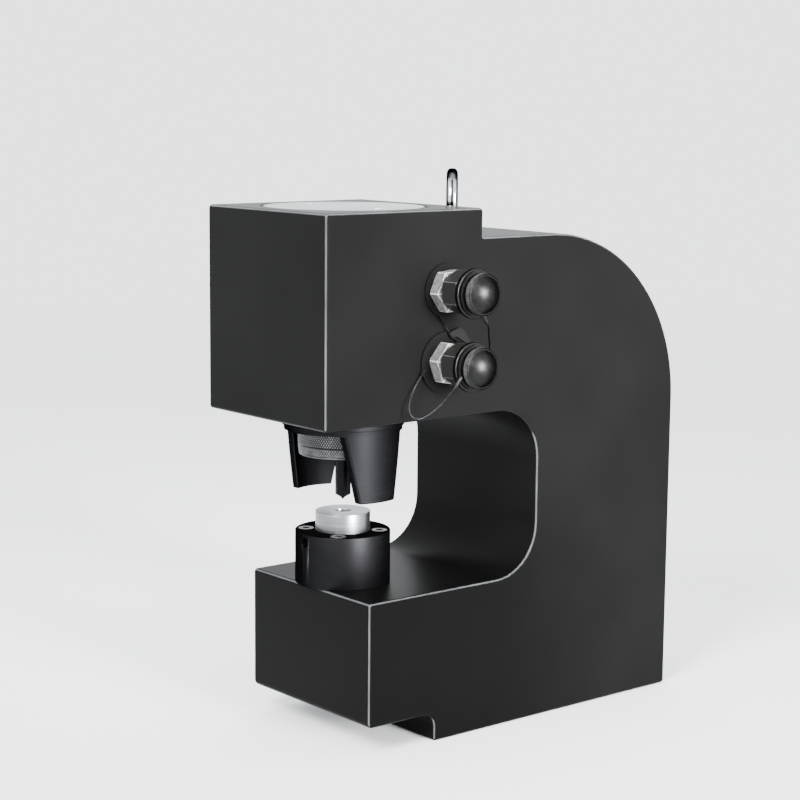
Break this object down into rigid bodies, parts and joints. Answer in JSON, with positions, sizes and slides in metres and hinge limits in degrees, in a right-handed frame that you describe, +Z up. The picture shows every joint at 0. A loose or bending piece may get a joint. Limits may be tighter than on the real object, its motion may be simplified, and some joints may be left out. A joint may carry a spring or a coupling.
{
  "type": "hydraulic punching machine",
  "caption": "C-frame hydraulic punch: ram with a knurled punch nut and stripper above a die on the lower arm, hose couplers with capped ends on the side, lifting eye on top.",
  "frame": {"origin": "middle of the foot's underside", "axes": "+Z up, +X towards the hose couplers, -Y towards the front, where the jaw opens"},
  "size_m": [0.2155, 0.393, 0.471],
  "materials": {
    "frame_paint": "satin",
    "ground_steel": "ground",
    "seal_rubber": "matte",
    "seal_plastic": "matte",
    "machined_steel": "turned",
    "chromed_rod": "polished",
    "gland_bronze": "turned",
    "dark_steel": "blackened",
    "screw_black": "black oxide",
    "knurled_steel": "knurled",
    "eye_chrome": "bright",
    "washer_black": "satin",
    "zinc_plate": "zinc plated, worn",
    "coupler_black": "satin",
    "cap_black": "gloss",
    "lanyard_wire": "twisted wire",
    "tag_grey": "matte"
  },
  "bodies": {
    "frame_body": {"frame": "frame_paint", "cylinder_cover": "ground_steel", "cover_o_ring": "seal_rubber", "rod_gland": "gland_bronze", "gland_o_ring": "seal_rubber", "rod_seal": "seal_plastic", "rod_wiper": "seal_rubber", "stripper": "dark_steel", "stripper_lock_screws": "screw_black", "die_holder": "dark_steel", "die_holder_screws": "screw_black", "die": "dark_steel", "die_set_screw": "screw_black", "lifting_eye": "eye_chrome", "upper_port_washer": "washer_black", "upper_port_adapter": "zinc_plate", "upper_coupler_body": "coupler_black", "upper_poppet_spring": "machined_steel", "upper_cap_lanyard": "lanyard_wire", "lanyard_tag": "tag_grey", "lower_port_washer": "washer_black", "lower_port_adapter": "zinc_plate", "lower_coupler_body": "coupler_black", "lower_poppet_spring": "machined_steel", "lower_cap_lanyard": "lanyard_wire"},
    "ram": {"piston": "machined_steel", "piston_seal": "seal_plastic", "piston_guide_ring": "seal_plastic", "piston_nut": "machined_steel", "piston_rod": "chromed_rod", "punch_collar": "dark_steel", "punch": "dark_steel"},
    "punch_nut": {"punch_nut": "knurled_steel"},
    "upper_poppet": {"upper_poppet": "machined_steel"},
    "upper_cap_ring": {"upper_cap_ring": "cap_black"},
    "upper_dust_cap": {"upper_dust_cap": "cap_black"},
    "lower_poppet": {"lower_poppet": "machined_steel"},
    "lower_cap_ring": {"lower_cap_ring": "cap_black"},
    "lower_dust_cap": {"lower_dust_cap": "cap_black"}
  },
  "joints": [
    {"name": "ram_slide", "type": "slide", "parent": "frame_body", "child": "ram", "axis": [0, 0, -1], "range_m": [0, 0.018]},
    {"name": "punch_nut_turn", "type": "hinge", "parent": "ram", "child": "punch_nut", "pos_m": [0, -0.174, 0.25], "axis": [0, 0, 1], "continuous": true},
    {"name": "upper_cap_pull", "type": "slide", "parent": "frame_body", "child": "upper_cap_ring", "axis": [1, 0, 0], "range_m": [0, 0.03]},
    {"name": "upper_cap_turn", "type": "hinge", "parent": "upper_cap_ring", "child": "upper_dust_cap", "pos_m": [0.12, -0.1325, 0.377], "axis": [1, 0, 0], "continuous": true},
    {"name": "upper_poppet_push", "type": "slide", "parent": "frame_body", "child": "upper_poppet", "axis": [-1, 0, 0], "range_m": [0, 0.004], "stiffness_N_per_m": 1500, "springref_m": -0.004, "deforming": ["upper_poppet_spring"]},
    {"name": "lower_cap_pull", "type": "slide", "parent": "frame_body", "child": "lower_cap_ring", "axis": [1, 0, 0], "range_m": [0, 0.03]},
    {"name": "lower_cap_turn", "type": "hinge", "parent": "lower_cap_ring", "child": "lower_dust_cap", "pos_m": [0.12, -0.1325, 0.318], "axis": [1, 0, 0], "continuous": true},
    {"name": "lower_poppet_push", "type": "slide", "parent": "frame_body", "child": "lower_poppet", "axis": [-1, 0, 0], "range_m": [0, 0.004], "stiffness_N_per_m": 1500, "springref_m": -0.004, "deforming": ["lower_poppet_spring"]}
  ]
}
